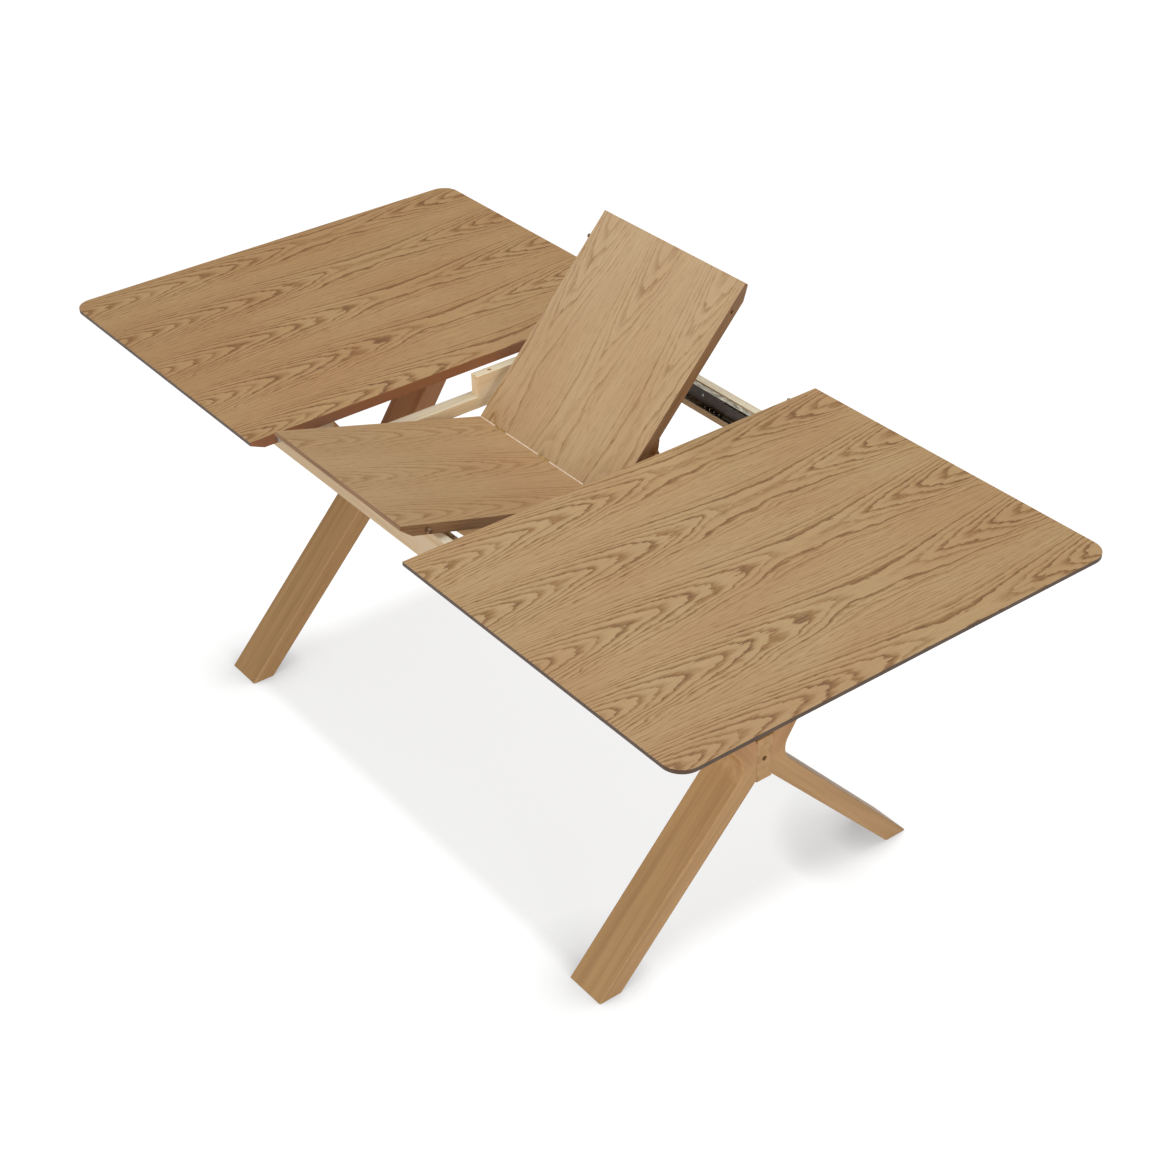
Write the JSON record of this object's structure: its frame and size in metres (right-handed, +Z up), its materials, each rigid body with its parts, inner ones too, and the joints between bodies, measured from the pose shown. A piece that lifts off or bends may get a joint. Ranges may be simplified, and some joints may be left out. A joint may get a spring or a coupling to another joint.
{
  "type": "extending dining table",
  "caption": "Rectangular extending dining table on splayed bent-leg pedestals; half tops slide apart and a hinged butterfly leaf unfolds from the centre frame.",
  "frame": {"origin": "on the floor under the middle of the table", "axes": "+X along the table to the right half, +Y across it to the far side, +Z up"},
  "size_m": [1.89, 0.9, 0.9871],
  "materials": {
    "oak_veneer": "satin lacquered oak veneer",
    "oak_solid": "satin lacquered solid oak",
    "pale_beech": "bare pale hardwood",
    "zinc_steel": "zinc plated pressed steel",
    "dark_steel": "black steel",
    "brass": "plain brass"
  },
  "bodies": {
    "centre_frame": {"block_screws": "zinc_steel", "cross_bar_left": "pale_beech", "cross_bar_right": "pale_beech", "frame_slide_screws": "zinc_steel", "pivot_block_left": "pale_beech", "pivot_block_right": "pale_beech", "pivot_bush_left": "brass", "pivot_bush_right": "brass", "rail_far": "pale_beech", "rail_near": "pale_beech", "slide_outer_left_far": "zinc_steel", "slide_outer_left_near": "zinc_steel", "slide_outer_right_far": "zinc_steel", "slide_outer_right_near": "zinc_steel"},
    "right_half": {"bearer_right": "pale_beech", "dowels_right": "pale_beech", "leg_right_far": "oak_solid", "leg_right_near": "oak_solid", "runner_right_far": "pale_beech", "runner_right_near": "pale_beech", "slide_inner_right_far": "zinc_steel", "slide_inner_right_near": "zinc_steel", "slide_screws_right": "zinc_steel", "top_pin_right": "brass", "top_right": "oak_veneer", "top_screws_right": "zinc_steel", "waist_block_right": "oak_solid", "waist_bolt_right": "dark_steel"},
    "left_half": {"bearer_left": "pale_beech", "dowels_left": "pale_beech", "leg_left_far": "oak_solid", "leg_left_near": "oak_solid", "runner_left_far": "pale_beech", "runner_left_near": "pale_beech", "slide_inner_left_far": "zinc_steel", "slide_inner_left_near": "zinc_steel", "slide_screws_left": "zinc_steel", "top_left": "oak_veneer", "top_pin_left": "brass", "top_screws_left": "zinc_steel", "waist_block_left": "oak_solid", "waist_bolt_left": "dark_steel"},
    "right_slide_middle": {"slide_middle_right_far": "zinc_steel", "slide_middle_right_near": "zinc_steel"},
    "left_slide_middle": {"slide_middle_left_far": "zinc_steel", "slide_middle_left_near": "zinc_steel"},
    "right_balls": {"ball_strips_right": "zinc_steel"},
    "left_balls": {"ball_strips_left": "zinc_steel"},
    "leaf_far_panel": {"bracket_screws": "dark_steel", "hinge_pins": "brass", "hinge_plates_far": "brass", "hinge_screws_far": "brass", "leaf_far": "oak_veneer", "leaf_pin_far": "brass", "pivot_bracket_left": "dark_steel", "pivot_bracket_right": "dark_steel"},
    "leaf_near_panel": {"hinge_plates_near": "brass", "hinge_screws_near": "brass", "leaf_near": "oak_veneer", "leaf_pin_near": "brass"}
  },
  "joints": [
    {"name": "right_pull", "type": "slide", "parent": "centre_frame", "child": "right_half", "axis": [1, 0, 0], "range_m": [-0.0445, 0]},
    {"name": "left_pull", "type": "slide", "parent": "centre_frame", "child": "left_half", "axis": [-1, 0, 0], "range_m": [-0.0445, 0]},
    {"name": "right_slide_step", "type": "slide", "parent": "centre_frame", "child": "right_slide_middle", "axis": [1, 0, 0], "range_m": [-0.02225, 0]},
    {"name": "left_slide_step", "type": "slide", "parent": "centre_frame", "child": "left_slide_middle", "axis": [-1, 0, 0], "range_m": [-0.02225, 0]},
    {"name": "right_balls_roll", "type": "slide", "parent": "centre_frame", "child": "right_balls", "axis": [1, 0, 0], "range_m": [-0.01112, 0]},
    {"name": "left_balls_roll", "type": "slide", "parent": "centre_frame", "child": "left_balls", "axis": [-1, 0, 0], "range_m": [-0.01112, 0]},
    {"name": "leaf_pivot", "type": "hinge", "parent": "centre_frame", "child": "leaf_far_panel", "pos_m": [0, 0.1125, 0.715], "axis": [1, 0, 0], "range_deg": [-47.4, 86]},
    {"name": "leaf_fold", "type": "hinge", "parent": "leaf_far_panel", "child": "leaf_near_panel", "pos_m": [0, 0.01059, 0.65588], "axis": [-1, 0, 0], "range_deg": [-63.81, 115.77]}
  ],
  "couplings": [
    {"joint": "right_slide_step", "follows": "right_pull", "ratio": 0.5},
    {"joint": "left_slide_step", "follows": "left_pull", "ratio": 0.5},
    {"joint": "right_balls_roll", "follows": "right_pull", "ratio": 0.25},
    {"joint": "left_balls_roll", "follows": "left_pull", "ratio": 0.25},
    {"joint": "leaf_fold", "follows": "leaf_pivot", "ratio": 1.346}
  ]
}
